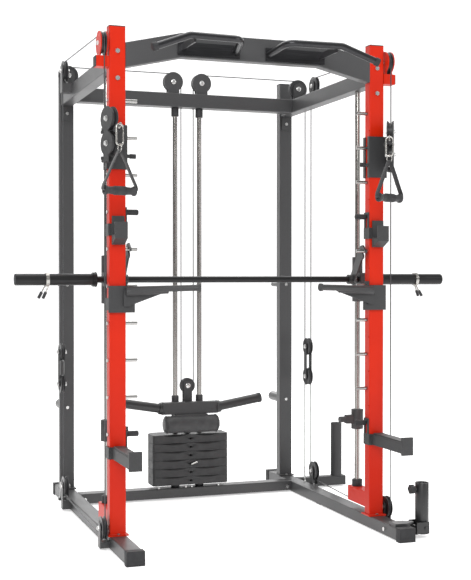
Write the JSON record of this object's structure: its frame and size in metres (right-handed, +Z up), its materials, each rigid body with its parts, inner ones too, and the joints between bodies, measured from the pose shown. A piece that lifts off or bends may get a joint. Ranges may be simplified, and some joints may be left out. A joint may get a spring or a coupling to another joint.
{
  "type": "power cage",
  "caption": "Power cage with a smith bar on guide rods, swivelling pulley trolleys with handles, a weight stack, pull-up bars and a landmine socket.",
  "frame": {"origin": "on the floor under the middle of the cage's footprint", "axes": "+X to the right as seen from the front, +Y to the back, +Z up"},
  "size_m": [2.01, 1.6, 2.19],
  "materials": {
    "powder_red": "satin",
    "powder_graphite": "matte",
    "powder_black": "satin",
    "chrome": "polished",
    "zinc": "satin",
    "iron": "matte",
    "rubber": "matte",
    "nylon": "matte",
    "vinyl": "satin",
    "webbing": "matte"
  },
  "bodies": {
    "frame": {"base_frame": "powder_graphite", "front_uprights": "powder_red", "rear_uprights": "powder_graphite", "top_frame": "powder_graphite", "pull_up_beam": "powder_graphite", "pull_up_bars": "powder_black", "guide_rods": "chrome", "frame_brackets": "powder_graphite", "red_brackets": "powder_red", "catch_pegs": "chrome", "rubber_parts": "rubber", "lower_weight_plates": "iron", "frame_bolts": "zinc", "storage_pegs": "chrome", "barbell_post": "powder_graphite", "fixed_cables": "rubber"},
    "stack": {"weight_carriage": "powder_graphite", "plate_horns": "powder_black", "stack_pad": "vinyl", "upper_weight_plates": "iron", "stack_pulley": "nylon", "stack_strands": "rubber"},
    "selector": {"selector_pin": "chrome"},
    "smith_carriage": {"smith_carriages": "powder_black"},
    "smith_bar": {"smith_bar": "powder_black", "bar_sleeves": "powder_black", "smith_hooks": "powder_black", "spring_collars": "zinc"},
    "blocks": {"block_frames": "powder_graphite", "block_upper_strands": "rubber", "block_lower_strands": "rubber"},
    "j_hooks": {"j_hooks": "powder_black"},
    "dip_arms": {"dip_arms": "powder_black"},
    "spotter_arms": {"spotter_arms": "powder_black"},
    "smith_stops": {"smith_stops": "powder_black"},
    "landmine_yoke": {"landmine_yoke": "powder_black"},
    "landmine_tube": {"landmine_tube": "powder_black"},
    "landmine_knob": {"landmine_knob": "nylon"},
    "top_front_pulleys": {"top_front_pulleys": "nylon"},
    "top_rear_pulleys": {"top_rear_pulleys": "nylon"},
    "low_front_pulleys": {"low_front_pulleys": "nylon"},
    "low_rear_pulleys": {"low_rear_pulleys": "nylon"},
    "block_upper_pulleys": {"block_upper_pulleys": "nylon"},
    "block_lower_pulleys": {"block_lower_pulleys": "nylon"},
    "left_corner_pulley": {"left_corner_pulley": "nylon"},
    "right_corner_pulley": {"right_corner_pulley": "nylon"},
    "left_centre_pulley": {"left_centre_pulley": "nylon"},
    "right_centre_pulley": {"right_centre_pulley": "nylon"},
    "left_trolley": {"left_trolley": "powder_black"},
    "left_pop_pin": {"left_pop_pin": "nylon"},
    "left_pulley_arm": {"left_pulley_arm": "powder_black"},
    "left_arm_pulley_upper": {"left_arm_pulley_upper": "nylon"},
    "left_arm_pulley_lower": {"left_arm_pulley_lower": "nylon"},
    "left_handle": {"left_handle": "webbing"},
    "right_trolley": {"right_trolley": "powder_black"},
    "right_pop_pin": {"right_pop_pin": "nylon"},
    "right_pulley_arm": {"right_pulley_arm": "powder_black"},
    "right_arm_pulley_upper": {"right_arm_pulley_upper": "nylon"},
    "right_arm_pulley_lower": {"right_arm_pulley_lower": "nylon"},
    "right_handle": {"right_handle": "webbing"}
  },
  "joints": [
    {"name": "stack_lift", "type": "slide", "parent": "frame", "child": "stack", "axis": [0, 0, 1], "range_m": [0, 1.1], "deforming": ["stack_strands"]},
    {"name": "blocks_drop", "type": "slide", "parent": "frame", "child": "blocks", "axis": [0, 0, -1], "range_m": [0, 0.275], "deforming": ["block_upper_strands", "block_lower_strands"]},
    {"name": "selector_pull", "type": "slide", "parent": "stack", "child": "selector", "axis": [0, -1, 0], "range_m": [0, 0.09]},
    {"name": "left_trolley_height", "type": "slide", "parent": "frame", "child": "left_trolley", "axis": [0, 0, 1], "range_m": [0, 0.1556]},
    {"name": "left_pop_pin_pull", "type": "slide", "parent": "left_trolley", "child": "left_pop_pin", "axis": [1, 0, 0], "range_m": [0, 0.01]},
    {"name": "left_arm_swivel", "type": "hinge", "parent": "left_trolley", "child": "left_pulley_arm", "pos_m": [-0.66, -0.521, 1.7], "axis": [0, 0, 1], "range_deg": [-75, 30]},
    {"name": "left_arm_pulley_upper_spin", "type": "hinge", "parent": "left_pulley_arm", "child": "left_arm_pulley_upper", "pos_m": [-0.64887, -0.56254, 1.791], "axis": [0.9659, 0.2588, 0], "continuous": true},
    {"name": "left_arm_pulley_lower_spin", "type": "hinge", "parent": "left_pulley_arm", "child": "left_arm_pulley_lower", "pos_m": [-0.64887, -0.56254, 1.689], "axis": [0.9659, 0.2588, 0], "continuous": true},
    {"name": "left_handle_pull", "type": "slide", "parent": "left_pulley_arm", "child": "left_handle", "axis": [0.2588, -0.9659, 0], "range_m": [0, 0.55]},
    {"name": "left_corner_pulley_spin", "type": "hinge", "parent": "frame", "child": "left_corner_pulley", "pos_m": [-0.617, 0.47, 2.14], "axis": [0, 1, 0], "continuous": true},
    {"name": "left_centre_pulley_spin", "type": "hinge", "parent": "frame", "child": "left_centre_pulley", "pos_m": [-0.076, 0.47, 2.14], "axis": [0, 1, 0], "continuous": true},
    {"name": "right_trolley_height", "type": "slide", "parent": "frame", "child": "right_trolley", "axis": [0, 0, 1], "range_m": [0, 0.1556]},
    {"name": "right_pop_pin_pull", "type": "slide", "parent": "right_trolley", "child": "right_pop_pin", "axis": [-1, 0, 0], "range_m": [0, 0.01]},
    {"name": "right_arm_swivel", "type": "hinge", "parent": "right_trolley", "child": "right_pulley_arm", "pos_m": [0.66, -0.521, 1.7], "axis": [0, 0, 1], "range_deg": [-15, 90]},
    {"name": "right_arm_pulley_upper_spin", "type": "hinge", "parent": "right_pulley_arm", "child": "right_arm_pulley_upper", "pos_m": [0.6385, -0.55824, 1.791], "axis": [0.866, -0.5, 0], "continuous": true},
    {"name": "right_arm_pulley_lower_spin", "type": "hinge", "parent": "right_pulley_arm", "child": "right_arm_pulley_lower", "pos_m": [0.6385, -0.55824, 1.689], "axis": [0.866, -0.5, 0], "continuous": true},
    {"name": "right_handle_pull", "type": "slide", "parent": "right_pulley_arm", "child": "right_handle", "axis": [-0.5, -0.866, 0], "range_m": [0, 0.55]},
    {"name": "right_corner_pulley_spin", "type": "hinge", "parent": "frame", "child": "right_corner_pulley", "pos_m": [0.617, 0.47, 2.14], "axis": [0, 1, 0], "continuous": true},
    {"name": "right_centre_pulley_spin", "type": "hinge", "parent": "frame", "child": "right_centre_pulley", "pos_m": [0.076, 0.47, 2.14], "axis": [0, 1, 0], "continuous": true},
    {"name": "top_front_pulleys_spin", "type": "hinge", "parent": "frame", "child": "top_front_pulleys", "pos_m": [0, -0.478, 2.115], "axis": [1, 0, 0], "continuous": true},
    {"name": "top_rear_pulleys_spin", "type": "hinge", "parent": "frame", "child": "top_rear_pulleys", "pos_m": [0, 0.347, 2.14], "axis": [1, 0, 0], "continuous": true},
    {"name": "low_front_pulleys_spin", "type": "hinge", "parent": "frame", "child": "low_front_pulleys", "pos_m": [0, -0.478, 0.09], "axis": [1, 0, 0], "continuous": true},
    {"name": "low_rear_pulleys_spin", "type": "hinge", "parent": "frame", "child": "low_rear_pulleys", "pos_m": [0, 0.347, 0.12], "axis": [1, 0, 0], "continuous": true},
    {"name": "block_upper_pulleys_spin", "type": "hinge", "parent": "blocks", "child": "block_upper_pulleys", "pos_m": [0, 0.43, 0.77], "axis": [1, 0, 0], "continuous": true},
    {"name": "block_lower_pulleys_spin", "type": "hinge", "parent": "blocks", "child": "block_lower_pulleys", "pos_m": [0, 0.43, 0.612], "axis": [1, 0, 0], "continuous": true},
    {"name": "smith_lift", "type": "slide", "parent": "frame", "child": "smith_carriage", "axis": [0, 0, 1], "range_m": [0, 0.6224]},
    {"name": "bar_twist", "type": "hinge", "parent": "smith_carriage", "child": "smith_bar", "pos_m": [0, -0.36, 1.13], "axis": [1, 0, 0], "range_deg": [-45, 0]},
    {"name": "j_hooks_lift", "type": "slide", "parent": "frame", "child": "j_hooks", "axis": [0, 0, 1], "range_m": [0, 0.04]},
    {"name": "dip_arms_lift", "type": "slide", "parent": "frame", "child": "dip_arms", "axis": [0, 0, 1], "range_m": [0, 0.04]},
    {"name": "spotter_arms_lift", "type": "slide", "parent": "frame", "child": "spotter_arms", "axis": [0, 0, 1], "range_m": [0, 0.04]},
    {"name": "smith_stops_height", "type": "slide", "parent": "frame", "child": "smith_stops", "axis": [0, 0, 1], "range_m": [-0.2, 0.45]},
    {"name": "landmine_swivel", "type": "hinge", "parent": "frame", "child": "landmine_yoke", "pos_m": [0.652, -0.715, 0.04], "axis": [0, 0, 1], "range_deg": [-40, 40]},
    {"name": "landmine_tilt", "type": "hinge", "parent": "landmine_yoke", "child": "landmine_tube", "pos_m": [0.715, -0.715, 0.044], "axis": [0, 1, 0], "range_deg": [0, 80]},
    {"name": "landmine_knob_turn", "type": "hinge", "parent": "landmine_tube", "child": "landmine_knob", "pos_m": [0.675, -0.715, 0.211], "axis": [1, 0, 0], "range_deg": [-180, 180]}
  ],
  "couplings": [
    {"joint": "blocks_drop", "follows": "stack_lift", "ratio": 0.25},
    {"joint": "left_arm_pulley_upper_spin", "follows": "stack_lift", "rad_per_m": -11.628},
    {"joint": "left_arm_pulley_lower_spin", "follows": "stack_lift", "rad_per_m": 11.628},
    {"joint": "left_handle_pull", "follows": "stack_lift", "ratio": 0.5},
    {"joint": "left_corner_pulley_spin", "follows": "stack_lift", "rad_per_m": -23.256},
    {"joint": "left_centre_pulley_spin", "follows": "stack_lift", "rad_per_m": -23.256},
    {"joint": "right_arm_pulley_upper_spin", "follows": "stack_lift", "rad_per_m": -11.628},
    {"joint": "right_arm_pulley_lower_spin", "follows": "stack_lift", "rad_per_m": 11.628},
    {"joint": "right_handle_pull", "follows": "stack_lift", "ratio": 0.5},
    {"joint": "right_corner_pulley_spin", "follows": "stack_lift", "rad_per_m": 23.256},
    {"joint": "right_centre_pulley_spin", "follows": "stack_lift", "rad_per_m": 23.256},
    {"joint": "top_front_pulleys_spin", "follows": "stack_lift", "rad_per_m": 11.628},
    {"joint": "top_rear_pulleys_spin", "follows": "stack_lift", "rad_per_m": 11.628},
    {"joint": "low_front_pulleys_spin", "follows": "stack_lift", "rad_per_m": -11.628},
    {"joint": "low_rear_pulleys_spin", "follows": "stack_lift", "rad_per_m": -11.628},
    {"joint": "block_upper_pulleys_spin", "follows": "stack_lift", "rad_per_m": -18.75},
    {"joint": "block_lower_pulleys_spin", "follows": "stack_lift", "rad_per_m": 6.25}
  ]
}
